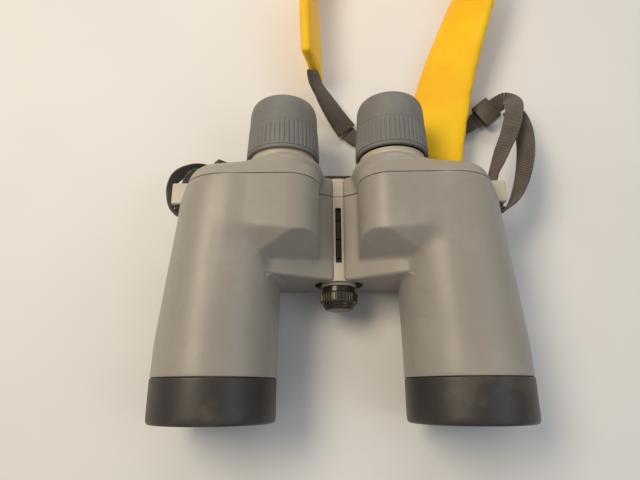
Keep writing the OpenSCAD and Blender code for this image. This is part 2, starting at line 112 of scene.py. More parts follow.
def swell(piece, look):
    # one mesh of even squares, blown up a little as cloth, no point further than the cap, then smoothed
    remesh = piece.modifiers.new("even", "REMESH")
    remesh.mode, remesh.voxel_size, remesh.use_smooth_shade = "VOXEL", look["voxel"] * mm, True
    applyModifier(piece, remesh)
    start = np.empty(len(piece.data.vertices) * 3, np.float32)
    piece.data.vertices.foreach_get("co", start)
    cloth = piece.modifiers.new("cloth", "CLOTH")
    cloth.settings.use_pressure = True
    cloth.settings.uniform_pressure_force = look["pressure"]
    cloth.settings.effector_weights.gravity = 0
    for k in range(1, 21):
        bpy.context.scene.frame_set(k)
    blown = piece.evaluated_get(bpy.context.evaluated_depsgraph_get())
    end = np.empty_like(start)
    blown.data.vertices.foreach_get("co", end)
    bpy.context.scene.frame_set(1)
    piece.modifiers.remove(cloth)
    move = (end - start).reshape(-1, 3)
    length = np.linalg.norm(move, axis=1, keepdims=True)
    move *= np.minimum(1, look["cap"] * mm / np.maximum(length, 1e-9))
    piece.data.vertices.foreach_set("co", (start.reshape(-1, 3) + move).ravel())
    smooth = piece.modifiers.new("smooth", "SUBSURF")
    smooth.levels = smooth.render_levels = 1
    applyModifier(piece, smooth)
    for face in piece.data.polygons:
        face.use_smooth = True
    print(f"{piece.name}: {len(start) // 3} points swelled by up to {length.max() / mm:.2f} mm")


def finishPiece(piece, material, slot, body, *replaced):
    piece.data.materials.clear()
    piece.data.materials.append(material)
    if replaced:
        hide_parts(*replaced)
    if body:
        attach(piece, body)
    return piece



class Wire:
    # one socket of a material's tree, with Python's operators as Math nodes
    def __init__(self, tree, socket=None):
        self.tree, self.socket = tree, socket

    def node(self, kind, settings=None, inputs=None, out=0):
        made = self.tree.nodes.new(kind)
        for key, value in (settings or {}).items():
            if key == "stops":
                ramp = made.color_ramp.elements
                while len(ramp) < len(value):
                    ramp.new(0.5)
                for stop, (place, colour) in zip(ramp, value):
                    stop.position, stop.color = place, (*colour, 1)
            else:
                setattr(made, key, value)
        for key, value in (inputs or {}).items():
            if isinstance(value, Wire):
                self.tree.links.new(value.socket, made.inputs[key])
            else:
                made.inputs[key].default_value = value
        return Wire(self.tree, made.outputs[out])

    def math(self, operation, *values, clamp=False):
        settings = {"operation": operation, "use_clamp": clamp}
        return self.node("ShaderNodeMath", settings, dict(enumerate(values)))

    def __add__(self, other):
        return self.math("ADD", self, other)

    def __radd__(self, other):
        return self.math("ADD", other, self)

    def __sub__(self, other):
        return self.math("SUBTRACT", self, other)

    def __rsub__(self, other):
        return self.math("SUBTRACT", other, self)

    def __mul__(self, other):
        return self.math("MULTIPLY", self, other)

    def __rmul__(self, other):
        return self.math("MULTIPLY", other, self)

    def __truediv__(self, other):
        return self.math("DIVIDE", self, other)

    def __rtruediv__(self, other):
        return self.math("DIVIDE", other, self)

    def clip(self, low, high, soft=True):
        # 0 below low, 1 above high, and smooth between
        kind = "SMOOTHSTEP" if soft else "LINEAR"
        settings = {"interpolation_type": kind}
        return self.node("ShaderNodeMapRange", settings, {"Value": self, "From Min": low, "From Max": high})

    def mixed(self, first, second):
        # this wire as the factor between two colours
        inputs = {0: self, 6: colour(first), 7: colour(second)}
        return self.node("ShaderNodeMix", {"data_type": "RGBA"}, inputs, 2)


def colour(value):
    return value if isinstance(value, Wire) else (*value, 1)


def newMaterial(name, constants):
    # a material with its constant values set on the shader itself, and the wire to start from
    material = bpy.data.materials.new(name)
    material.use_nodes = True
    tree = material.node_tree
    shader = tree.nodes["Principled BSDF"]
    for key, value in constants.items():
        shader.inputs[key].default_value = value
    return material, Wire(tree), shader


def connect(shader, start, **sockets):
    names = {"base": "Base Color", "rough": "Roughness", "normal": "Normal", "alpha": "Alpha",
             "metal": "Metallic", "coat": "Coat Weight"}
    for key, wire in sockets.items():
        start.tree.links.new(wire.socket, shader.inputs[names[key]])


def bumpOf(start, height, strength, distance):
    return start.node("ShaderNodeBump", {}, {"Strength": strength, "Distance": distance, "Height": height})


def objectPoint(start):
    return start.node("ShaderNodeTexCoord", {}, {}, "Object")


def noiseOf(start, place, scale, detail=3.0, roughness=0.55):
    inputs = {"Vector": place, "Scale": scale, "Detail": detail, "Roughness": roughness}
    return start.node("ShaderNodeTexNoise", {}, inputs, 0)


# What a user may change on the moulded and rubber finishes: colours are linear, sizes in metres
finishes = {
    "housing": dict(base=(0.335, 0.305, 0.262), dust=(0.50, 0.46, 0.40), rough=0.40, grain=0.00042,
                    depth=0.00005, mottle=0.22),
    "ring": dict(base=(0.036, 0.031, 0.027), dust=(0.13, 0.105, 0.080), rough=0.44, grain=0.0006,
                 depth=0.00004, mottle=0.55),
    "cup": dict(base=(0.185, 0.180, 0.170), dust=(0.30, 0.29, 0.27), rough=0.58, grain=0.0005,
                depth=0.00003, mottle=0.35),
    "beige": dict(base=(0.56, 0.50, 0.40), dust=(0.70, 0.65, 0.56), rough=0.42, grain=0.0005,
                  depth=0.00003, mottle=0.25),
    "cap": dict(base=(0.030, 0.021, 0.014), dust=(0.22, 0.15, 0.085), rough=0.26, grain=0.0007,
                depth=0.00002, mottle=0.35),
    # near-black: black paint on the cells and retainers, and painted shade on the hinge knuckles seen through
    # the strip's slot
    "dark": dict(base=(0.004, 0.004, 0.004), dust=(0.012, 0.012, 0.012), rough=0.60, grain=0.0006,
                 depth=0.00002, mottle=0.3),
    "keeper": dict(base=(0.060, 0.050, 0.026), dust=(0.18, 0.15, 0.09), rough=0.38, grain=0.0006,
                   depth=0.00003, mottle=0.3),
    "aluminium": dict(base=(0.30, 0.30, 0.31), dust=(0.42, 0.42, 0.43), rough=0.45, grain=0.0005,
                      depth=0.00003, mottle=0.3, metal=0.9),
    "steel": dict(base=(0.34, 0.33, 0.31), dust=(0.46, 0.44, 0.41), rough=0.34, grain=0.0005,
                  depth=0.00001, mottle=0.3, metal=1.0),
    "bronze": dict(base=(0.45, 0.30, 0.13), dust=(0.52, 0.38, 0.20), rough=0.36, grain=0.0005,
                   depth=0.00001, mottle=0.3, metal=1.0),
}


def mouldedMaterial(name, look, bands=()):
    # fine grain, cloudy staining and worn lighter patches; bands are dark lines across Y, in metres
    material, start, shader = newMaterial(name, {"Metallic": look.get("metal", 0.0)})
    place = objectPoint(start)
    grain = noiseOf(start, place, 1 / look["grain"], 4.0, 0.6)
    cloud = noiseOf(start, place, 38.0, 4.0, 0.62)
    specks = noiseOf(start, place, 900.0, 2.0, 0.5)
    worn = cloud.clip(0.50, 0.74) * look["mottle"] + specks.clip(0.66, 0.80) * 0.10
    base = worn.mixed(look["base"], look["dust"])
    stain = noiseOf(start, place, 120.0, 5.0, 0.65)
    base = (stain.clip(0.52, 0.80) * 0.22).mixed(base, tuple(c * 0.55 for c in look["base"]))
    height = grain * 1.0
    for y, half in bands:
        line = start.node("ShaderNodeSeparateXYZ", {}, {0: place}, 1)
        gap = (line - y).math("ABSOLUTE", line - y).clip(half * 1.4, half * 0.6)
        base = gap.mixed(base, (0.05, 0.042, 0.034))
        height = height - gap * 4.0
    rough = look["rough"] + (cloud - 0.5) * 0.22 + (grain - 0.5) * 0.10
    connect(shader, start, base=base, rough=rough,
            normal=bumpOf(start, height, 0.5, look["depth"]))
    return material


def glassMaterial(name, deep, tint):
    # a dark coated glass, its tint slightly uneven, under a clear coat
    material, start, shader = newMaterial(name, {"Coat Weight": 1.0, "Coat Roughness": 0.03})
    cloud = noiseOf(start, objectPoint(start), 30.0, 3.0)
    connect(shader, start, base=cloud.clip(0.35, 0.65).mixed(deep, tint), rough=0.06 + (cloud - 0.5) * 0.04)
    return material



# Where the camera stands, in metres, and how it is turned, in degrees
cameraSet = dict(place=(-0.00661, -0.07655, 0.29553), tilt=17.57, turn=-0.83, roll=-0.45, lens=27.06)


def makeCamera(look):
    tilt, turn, roll = (math.radians(look[k]) for k in ("tilt", "turn", "roll"))
    ahead = Vector((0, math.sin(tilt), -math.cos(tilt)))
    up = Vector((0, math.cos(tilt), math.sin(tilt)))
    right = Vector((1, 0, 0))
    ahead, right = (ahead * math.cos(turn) + right * math.sin(turn),
                    right * math.cos(turn) - ahead * math.sin(turn))
    right, up = right * math.cos(roll) + up * math.sin(roll), up * math.cos(roll) - right * math.sin(roll)
    data = bpy.data.cameras.new("Camera")
    data.lens = look["lens"]
    data.sensor_width = 36
    data.clip_start = 0.01
    camera = bpy.data.objects.new("Camera", data)
    camera.matrix_world = Matrix((right, up, -ahead)).transposed().to_4x4()
    camera.location = look["place"]
    bpy.context.scene.collection.objects.link(camera)
    bpy.context.scene.camera = camera


# Area lights: where they stand and what they face, in metres, size, watts and colour
lightSet = {
    "Key": dict(place=(-0.55, 0.25, 0.95), aim=(0, 0.0, 0.03), size=(0.55, 0.40), watts=7.0,
                colour=(1.0, 0.84, 0.62)),
    "Fill": dict(place=(0.75, -0.15, 0.80), aim=(0, 0, 0.03), size=(0.6, 0.6), watts=1.6,
                 colour=(0.78, 0.90, 1.0)),
    "Rear": dict(place=(0.05, 0.85, 0.60), aim=(0, 0.05, 0.03), size=(0.7, 0.25), watts=2.6,
                 colour=(1.0, 0.95, 0.88)),
}


def makeLights(lights):
    for name, look in lights.items():
        data = bpy.data.lights.new(name, "AREA")
        data.shape = "RECTANGLE"
        data.size, data.size_y = look["size"]
        data.energy = look["watts"]
        data.color = look["colour"]
        lamp = bpy.data.objects.new(name, data)
        toward = Vector(look["aim"]) - Vector(look["place"])
        lamp.matrix_world = toward.to_track_quat("-Z", "Y").to_matrix().to_4x4()
        lamp.location = look["place"]
        bpy.context.scene.collection.objects.link(lamp)
    world = bpy.data.worlds.new("World")
    world.use_nodes = True
    world.node_tree.nodes["Background"].inputs["Color"].default_value = (0.90, 0.93, 1.0, 1)
    world.node_tree.nodes["Background"].inputs["Strength"].default_value = 0.28
    bpy.context.scene.world = world
    bpy.context.scene.view_settings.view_transform = "Standard"


def makeFloor():
    material, start, shader = newMaterial("floorPaint", {"Roughness": 0.7})
    cloud = noiseOf(start, objectPoint(start), 6.0, 3.0)
    connect(shader, start, base=cloud.clip(0.3, 0.7).mixed((0.80, 0.79, 0.77), (0.84, 0.83, 0.81)))
    half, low = 3000.0, -0.05
    corners = np.array([[-half, -half, low], [half, -half, low], [half, half, low], [-half, half, low]])
    floor = putMesh("Floor", corners, np.array([[0, 1, 2, 3]]))
    floor.data.materials.append(material)


makeCamera(cameraSet)
makeLights(lightSet)
makeFloor()
print("camera, lights and floor")



# Routes: x, y and z in millimetres and the band's tilt from flat in degrees
routes = {
    "float_pad": [
        [-15, 131, 21.6, 105], [-16, 150, 22, 104], [-17, 175, 22, 102], [-18, 200, 22, 98],
        [-18, 220, 22, 94], [-16, 236, 22, 90], [-9, 252, 22, 90], [5, 265, 22, 90], [25, 273, 22, 90],
        [48, 275, 22, 90], [72, 272, 22, 90], [92, 262, 22, 92], [105, 246, 22, 100], [108, 228, 22, 112],
        [105, 212, 21, 122], [100, 196, 20, 131], [93, 177, 19, 139], [86, 158, 17.5, 144],
        [79, 138, 16, 150], [73, 118, 14.6, 155], [68, 98, 13.8, 160], [64, 80, 12.4, 163],
        [61, 63.5, 11, 165]],
    "left_tab": [
        [-15.5, 129, 23, 60], [-13, 121, 19, 48], [-8, 114, 14, 35], [-2, 106, 9, 22], [3, 100, 5, 12],
        [7.6, 94.5, 2.8, 4]],
    "right_tab": [
        [60.8, 62, 8.6, 166], [59.6, 60.2, 6, 170], [56.5, 58.8, 3.2, 176], [50, 58, 1.7, 180]],
    "cross_webbing": [
        [8, 94, 1.3, 0], [14, 89, 1.2, 0], [24, 85, 1.2, 0], [37, 84, 1.2, 0], [50, 87, 1.2, 0],
        [63, 90, 1.3, 0], [75, 92.5, 1.8, 2], [85, 95, 3, 6], [94.1, 99.2, 4.3, 8]],
    "right_webbing": [
        [91.1, 34, 34, 90], [91, 40, 34.5, 84], [92, 46, 35.5, 72], [95, 53, 36.5, 58], [99, 62, 36.5, 46],
        [104, 72, 35, 36], [109, 84, 32, 30], [113, 96, 28, 25], [114.6, 104, 22, 21], [113, 109, 15.5, 18],
        [108, 108.2, 10.2, 14], [102.5, 104.6, 7.4, 10], [98, 101.6, 5.6, 9], [94.7, 99.5, 4.5, 8]],
    "right_loop": [
        [91.1, 32, 34, 90], [91.3, 28, 34, 90], [91.7, 26, 34, 90], [92.9, 24.4, 34, 90],
        [94.8, 23.5, 33.5, 90], [98, 24.8, 33, 86], [103, 30, 33, 74], [108, 40, 33, 60],
        [112, 52, 32.5, 48], [115.5, 66, 30, 38], [117.5, 80, 26, 32], [117.5, 92, 21, 28],
        [115, 101, 16.5, 26]],
    "left_webbing": [
        [-91.1, 34, 34, 90], [-91, 40, 33, 90], [-90, 46, 30, 90], [-88, 51, 25, 90], [-84, 55, 19, 80],
        [-78, 58, 12, 50], [-71, 59, 6, 20], [-64, 59, 3, 5], [-52, 58, 1.4, 0], [-38, 57, 1.2, 0],
        [-22, 56, 1.2, 0], [-6, 56, 1.2, 0], [10, 56, 1.2, 0], [26, 57, 1.2, 0], [40, 58, 1.2, 0],
        [50, 58, 1.2, 0]],
    "left_loop": [
        [-91.1, 32, 34, 90], [-91.3, 28, 34, 90], [-91.7, 26, 34, 90], [-92.9, 24.4, 34, 90],
        [-94.6, 23.6, 34, 90], [-96.8, 25, 34, 90], [-98.8, 31, 34, 90], [-99.4, 38, 34, 90],
        [-98, 45, 33, 90], [-95, 51, 29, 90], [-90, 56.5, 23.6, 84], [-84, 60.5, 18, 64],
        [-77, 62.5, 13, 40]],
}
strapSet = dict(webbingWidth=11.0, webbingThick=1.5, tabWidth=15.0, tabThick=2.8, rib=1.25, ribHeight=0.22,
                step=0.25, blendFrom=0.0, blendTo=0.090)


def smoothRoute(route, step):
    # a curve through the points, each stretch a cubic whose slopes are half the gap between neighbours,
    # then points a fixed step apart along it
    rough = np.array(route, float)
    ends = np.vstack([2 * rough[0] - rough[1], rough, 2 * rough[-1] - rough[-2]])
    t = np.linspace(0, 1, 40, endpoint=False)[:, None]
    parts = []
    for a, b, c, d in zip(ends, ends[1:], ends[2:], ends[3:]):
        parts.append(b + 0.5 * t * (c - a + t * (2 * a - 5 * b + 4 * c - d + t * (3 * (b - c) + d - a))))
    dense = np.vstack(parts + [rough[-1:]])
    run = np.concatenate([[0], np.cumsum(np.linalg.norm(np.diff(dense[:, :3], axis=0), axis=1))])
    places = np.linspace(0, run[-1], max(8, int(run[-1] / step)))
    return np.stack([np.interp(places, run, dense[:, k]) for k in range(4)], axis=1), places


def frameOf(path):
    # along the path, across the band, which is tilted from flat by the fourth value, and its normal
    along = np.gradient(path[:, :3], axis=0)
    along /= np.linalg.norm(along, axis=1, keepdims=True)
    level = np.cross(along, [0, 0, 1.0])
    level /= np.linalg.norm(level, axis=1, keepdims=True)
    rise = np.cross(level, along)
    tilt = np.radians(path[:, 3:4])
    across = level * np.cos(tilt) + rise * np.sin(tilt)
    return along, across, np.cross(along, across)


def ribbon(name, route, width, thick, rib=0.0, ribHeight=0.0, taper=None, step=0.25):
    # a flat band: a lens-edged outline carried along the route, its faces rising and falling with the
    # ribs as |sin|; the two end rings shrink to the centre and close it
    path, places = smoothRoute(route, step)
    along, across, normal = frameOf(path)
    around = np.linspace(0, 2 * math.pi, 28, endpoint=False)
    flat = np.sign(np.cos(around)) * np.abs(np.cos(around)) ** 0.30
    deep = np.sign(np.sin(around)) * np.abs(np.sin(around)) ** 0.55
    wave = 1 if rib == 0 else 1 - ribHeight * 2 / thick * (1 - np.abs(np.sin(places * math.pi / rib)))
    halfWide = width / 2 * (np.ones(len(places)) if taper is None else taper(places / places[-1]))
    halfDeep = thick / 2 * (wave * np.ones(len(places)))
    grid = (path[:, None, :3] + across[:, None] * (halfWide[:, None] * flat)[..., None]
            + normal[:, None] * (halfDeep[:, None] * deep)[..., None])
    uv = np.stack([np.broadcast_to(flat * width / 2, grid.shape[:2]),
                   np.broadcast_to(places[:, None], grid.shape[:2])], axis=2).reshape(-1, 2) * mm
    caps = [path[0, :3], path[-1, :3]]
    full = np.concatenate([np.broadcast_to(caps[0], (1, 28, 3)), grid, np.broadcast_to(caps[1], (1, 28, 3))])
    uv = np.concatenate([uv[:28], uv, uv[-28:]])
    piece = gridMesh(name, full, flip=True, uv=uv)
    return piece, path[:, :3] * mm, places[-1] * mm


def followStrap(piece):
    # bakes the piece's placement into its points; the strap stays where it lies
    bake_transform(piece)


def webbingMaterial(name, dark, highlightColour):
    # cross ribs whose crests are a painted highlight and whose troughs stay dark as painted shade, split by
    # fine lengthwise threads; the map is in metres on the band
    material, start, shader = newMaterial(name, {"Sheen Weight": 0.25, "Sheen Roughness": 0.5})
    uv = start.node("ShaderNodeUVMap", {"uv_map": "UVMap"}, {})
    u = start.node("ShaderNodeSeparateXYZ", {}, {0: uv}, 0)
    v = start.node("ShaderNodeSeparateXYZ", {}, {0: uv}, 1)
    rib = strapSet["rib"] * mm
    wave = (v * (math.pi / rib)).math("SINE", v * (math.pi / rib))
    crest = wave.math("ABSOLUTE", wave)
    thread = (u * (math.pi / 0.0007)).math("SINE", u * (math.pi / 0.0007) + v * 400.0)
    thread = thread.math("ABSOLUTE", thread)
    fuzz = noiseOf(start, objectPoint(start), 1400.0, 3.0)
    patch = noiseOf(start, objectPoint(start), 90.0, 3.0)
    # painted highlight on the rib crests, broken by the threads and by patches; the troughs keep the dark
    # colour as painted shade
    crestHighlight = (crest.clip(0.35, 0.95) * (0.35 + thread * 0.65) * (0.35 + patch)).clip(0.05, 0.95, False)
    base = (crestHighlight * (0.55 + fuzz * 0.9)).mixed(dark, highlightColour)
    height = crest * 0.6 + thread * 0.5 + fuzz * 0.5
    connect(shader, start, base=base, rough=0.78 + (fuzz - 0.5) * 0.2,
            normal=bumpOf(start, height, 0.8, 0.00025))
    return material


# the second colour of each webbing is the painted highlight on its rib crests
webbing = webbingMaterial("wovenWebbing", (0.016, 0.012, 0.009), (0.24, 0.20, 0.165))
tabCloth = webbingMaterial("stitchedWebbing", (0.020, 0.015, 0.011), (0.20, 0.165, 0.13))
strapPieces = {}
for name in ("left_webbing", "left_loop", "right_webbing", "right_loop", "cross_webbing"):
    band = ribbon("strap_" + name, routes[name], strapSet["webbingWidth"], strapSet["webbingThick"],
                  strapSet["rib"], strapSet["ribHeight"])
    strapPieces[name] = band
    finishPiece(band[0], webbing, "webbing", None, name)
for name in ("left_tab", "right_tab"):
    band = ribbon("strap_" + name, routes[name], strapSet["tabWidth"], strapSet["tabThick"],
                  strapSet["rib"], strapSet["ribHeight"])
    strapPieces[name] = band
    finishPiece(band[0], tabCloth, "stitched_webbing", None, name)

# The float: width and thickness before it swells, then the swelling, in millimetres
floatSet = dict(width=40.0, thick=6.6, voxel=2.2, pressure=4.0, cap=0.7)


def floatMaterial(name):
    # bright coated fabric, with a fine weave, faint soiling and shallow creases
    material, start, shader = newMaterial(name, {"Specular IOR Level": 0.25, "Sheen Weight": 0.1})
    place = objectPoint(start)
    weave = noiseOf(start, place, 2200.0, 2.0)
    cloud = noiseOf(start, place, 26.0, 4.0)
    crease = noiseOf(start, place, 60.0, 3.0, 0.5)
    base = cloud.clip(0.35, 0.70).mixed((1.0, 0.62, 0.002), (0.97, 0.52, 0.003))
    base = (cloud.clip(0.62, 0.80) * 0.25).mixed(base, (0.75, 0.40, 0.02))
    connect(shader, start, base=base, rough=0.52 + (weave - 0.5) * 0.2,
            normal=bumpOf(start, weave * 0.3 + crease * 2.0, 0.5, 0.0004))
    return material


padBand = ribbon("float_pad_cover", routes["float_pad"], floatSet["width"], floatSet["thick"], step=2.5)
swell(padBand[0], floatSet)
finishPiece(padBand[0], floatMaterial("floatFabric"), "float_foam", None, "float_pad")
for band in list(strapPieces.values()) + [padBand]:
    followStrap(band[0])


# Sections of a housing, in millimetres. A barrel station is its depth, the least and greatest x and z
# of its corner centres, and their radius; a lump is a list of circles, each x, z and radius
housingSet = dict(
    barrel=[(10, 66.5, 66.5, 32.7, 32.7, 32.7), (40, 66, 66, 32.7, 32.7, 32.5),
            (104, 59, 63.2, 26, 42, 26), (114, 58.5, 62.8, 26, 42, 26), (134, 57, 59.6, 22, 46, 22)],
    bulge=[(28, 51, 17), (24, 13.1, 13), (56, 42, 26)], bulgeStart=80.0,
    facets=[[(12.0, 85.0, 41.0), (41.5, 84.0, 60.0), (23.0, 94.0, 68.3)],
            [(23.0, 94.0, 68.3), (41.5, 84.0, 60.0), (60.0, 97.0, 68.3)]], facetRound=1.2,
    web=[(2.9, 34.3), (30, 49.5), (43, 56), (56, 50), (56, 36), (28, 8), (5, 8)],
    webCorner=1.3, webEdge=1.6, fillet=3.0, frontDepth=22.1, shelfDepth=74.0,
    seamDepth=124.0, coverDepth=124.35, webEndDepth=136.0, hinge=(0.0, 20.5, 13.9),
    centre=(47.0, 30.0), frontCentre=(62.0, 32.7), wall=3.0, coverWall=2.5, columns=400,
    eyepiece=(32.4, 35.9), eyepieceHole=19.25,
    screws=[(59, 57.5, 134.5), (76, 20, 132.5), (50, 10.5, 133)])
sweep = np.linspace(0, 2 * math.pi, 720, endpoint=False)
outward = np.stack([np.cos(sweep), np.sin(sweep)])


def supportOf(circles):
    # how far a hull of circles reaches along every direction: the most of centre . n + radius
    circles = np.asarray(circles, float)
    return (circles[:, :2] @ outward + circles[:, 2:]).max(axis=0)


def cornerCircles(corners, radius):
    # circles that touch both edges at each corner of a polygon that runs clockwise
    corners = np.asarray(corners, float)
    edges = np.roll(corners, -1, axis=0) - corners
    normals = np.stack([-edges[:, 1], edges[:, 0]], axis=1)
    normals /= np.linalg.norm(normals, axis=1, keepdims=True)
    before = np.roll(normals, 1, axis=0)
    inward = (before + normals) / (1 + (before * normals).sum(axis=1, keepdims=True))
    return np.column_stack([corners - inward * radius, np.full(len(corners), radius)])


def reachOf(support, centre, angles):
    # distance from a centre to a hull along each angle: the least of (h - c.n) / cos(n's angle - angle)
    gap = np.maximum(support - np.asarray(centre) @ outward, 0)
    turn = np.cos(sweep[None, :] - np.asarray(angles)[:, None])
    return np.where(turn > 0.02, gap / np.maximum(turn, 0.02), 1e3).min(axis=1)


def circleHit(centre, angles, x, z, radius, far=False):
    # distance from a centre to a circle along each angle, and a large one where the ray misses
    dx, dz = x - centre[0], z - centre[1]
    along = dx * np.cos(angles) + dz * np.sin(angles)
    inside = radius ** 2 - (dx ** 2 + dz ** 2 - along ** 2)
    root = np.sqrt(np.maximum(inside, 0))
    hit = along + root if far else along - root
    return np.where((inside >= 0) & (hit > 0), hit, 1e3)


def softMax(a, b, k):
    # the greater of two values, rounded where they differ by less than k
    h = np.maximum(k - np.abs(a - b), 0) / k
    return np.maximum(a, b) + h * h * k / 4


def softMin(a, b, k):
    return -softMax(-a, -b, k)


def barrelCircles(depth, look):
    # the stations met along straight lines, averaged over four millimetres either way
    table = np.array(look["barrel"], float)
    at = depth + np.linspace(-4, 4, 17)
    xa, xb, za, zb, r = [np.interp(at, table[:, 0], table[:, k]).mean() for k in range(1, 6)]
    return [(xa, za, r), (xb, za, r), (xa, zb, r), (xb, zb, r)]


def middleOf(depth, look):
    t = min(max((depth - 40) / 30, 0), 1)
    t = t * t * (3 - 2 * t)
    return np.asarray(look["frontCentre"]) * (1 - t) + np.asarray(look["centre"]) * t


def easedSection(depth, angles, look, inset=0.0):
    # where a ray points up and outwards, the radii are averaged along the depth, so the ramp has no edge
    plain = sectionOf(depth, angles, look, inset=inset)
    if depth < 78:
        return plain
    spread = np.mean([sectionOf(min(max(depth + k, 75), 110), angles, look, inset=inset)
                      for k in (-4, -2, 0, 2, 4)], axis=0)
    x = look["centre"][0] + plain * np.cos(angles)
    share = np.clip((x - 38) / 12, 0, 1) * np.clip((np.sin(angles) - 0.3) / 0.3, 0, 1)
    share = share * share * (3 - 2 * share)
    share = share * np.clip((106 - depth) / 6, 0, 1) * np.clip((depth - 78) / 3, 0, 1)
    return plain * (1 - share) + spread * share


def sectionOf(depth, angles, look, stage="full", inset=0.0):
    # one section's radii about its middle: barrel, then the web and the bulge where they have begun
    centre = middleOf(depth, look)
    barrel = reachOf(supportOf(barrelCircles(depth, look)), centre, angles)
    if stage == "barrel":
        return barrel
    web = reachOf(supportOf(cornerCircles(look["web"], look["webCorner"])) - inset, centre, angles)
    if stage == "fillet":
        fillet = look["fillet"]
        along = depth - look["shelfDepth"] + fillet
        rise = fillet - math.sqrt(max(fillet ** 2 - along ** 2, 0))
        reach = np.maximum(barrel, np.minimum(web, hingeHit(centre, angles, look)))
        return np.minimum(barrel + rise, reach)
    outer = barrel
    lump = reachOf(supportOf(look["bulge"]), centre, angles)
    for plane in look["facets"]:
        lump = softMin(lump, facetReach(plane, depth, centre, angles), look["facetRound"])
    outer = softMax(outer, lump, 2.5)
    outer = softMax(outer, web, 1.6)
    return softMin(outer, hingeHit(centre, angles, look), 1.6)


def facetReach(corners, depth, centre, angles):
    # distance to the plane through three corners of x, depth and z: (low - p) . n / (ray . n), with the
    # side towards the front cut away
    low, outerEnd, top = (np.array(p, float) for p in corners)
    normal = np.cross(outerEnd - low, top - low)
    normal /= -math.copysign(np.linalg.norm(normal), normal[1])
    gap = normal @ (low - np.array([centre[0], depth, centre[1]]))
    slope = normal[0] * np.cos(angles) + normal[2] * np.sin(angles)
    hit = np.where(slope > 0.001, gap / np.maximum(slope, 0.001), 1e3)
    return np.clip(hit, 0, 1e3)


def hingeHit(centre, angles, look):
    return circleHit(centre, angles, *look["hinge"])


def housingRows(look, angles):
    # (depth, middle, radii) for every row from the front edge to the seam
    rows = []

    def add(depth, radii):
        rows.append((depth, middleOf(depth, look), radii))

    front, shelf, seam = look["frontDepth"], look["shelfDepth"], look["seamDepth"]
    fillet, edge = look["fillet"], look["webEdge"]
    for t in (0, 0.12, 0.3, 0.6, 1):
        radii = sectionOf(front, angles, look, "barrel")
        add(front + t * 0.5, radii - 0.5 * (1 - math.sqrt(1 - (1 - t) ** 2)))
    for depth in np.linspace(front + 2, shelf - fillet, 16):
        add(depth, sectionOf(depth, angles, look, "barrel"))
    for t in np.linspace(0.15, 1, 8):
        depth = shelf - fillet + fillet * math.sin(t * math.pi / 2)
        add(depth, sectionOf(depth, angles, look, "fillet"))
    low = rows[-1][2]
    high = sectionOf(shelf, angles, look, inset=edge)
    for t in np.linspace(0.07, 1, 16):
        add(shelf, low + (np.maximum(high, low) - low) * t)
    for t in np.linspace(0.15, 1, 7):
        depth = shelf + edge * (1 - math.cos(t * math.pi / 2))
        inset = edge * (1 - math.sin(t * math.pi / 2))
        full = sectionOf(depth, angles, look, inset=inset)
        add(depth, np.maximum(full, sectionOf(depth, angles, look, "barrel")))
    for depth in np.concatenate([np.linspace(shelf + 2.6, 84.5, 7), np.linspace(85.2, 97, 26),
                                 np.linspace(98.5, seam - 0.5, 16)]):
        add(depth, easedSection(depth, angles, look))
    for t in (0.3, 0.6, 0.85, 1):
        add(seam - 0.5 + 0.5 * t, sectionOf(seam, angles, look) - 0.45 * (1 - math.sqrt(1 - t * t)))
    return rows


def placeRows(rows, angles, side):
    # x and z from the middle and the radius along each angle, mirrored for the left half
    grid = np.empty((len(rows), len(angles), 3))
    for i, (depth, centre, radii) in enumerate(rows):
        grid[i, :, 0] = side * (centre[0] + radii * np.cos(angles))
        grid[i, :, 1] = depth - midDepth
        grid[i, :, 2] = centre[1] + radii * np.sin(angles)
    return grid


def makeHousing(side, look):
    angles = np.linspace(0, 2 * math.pi, look["columns"], endpoint=False)
    rows = housingRows(look, angles)
    inner = []
    for depth in (look["seamDepth"], 112, 104, 100, 97, 94, 91, 88, 84, 80, 78):
        behind = np.minimum(sectionOf(max(depth - 4, 74.5), angles, look), sectionOf(depth, angles, look))
        inner.append((depth, middleOf(depth, look), behind - look["wall"]))
    for depth in (78, 70, 60, 50, 40, 30, look["frontDepth"]):
        inner.append((depth, middleOf(depth, look), sectionOf(depth, angles, look, "barrel") - look["wall"]))
    grid = placeRows(rows + inner, angles, side)
    return gridMesh("housing_shell", grid, closeRows=True, flip=side < 0)


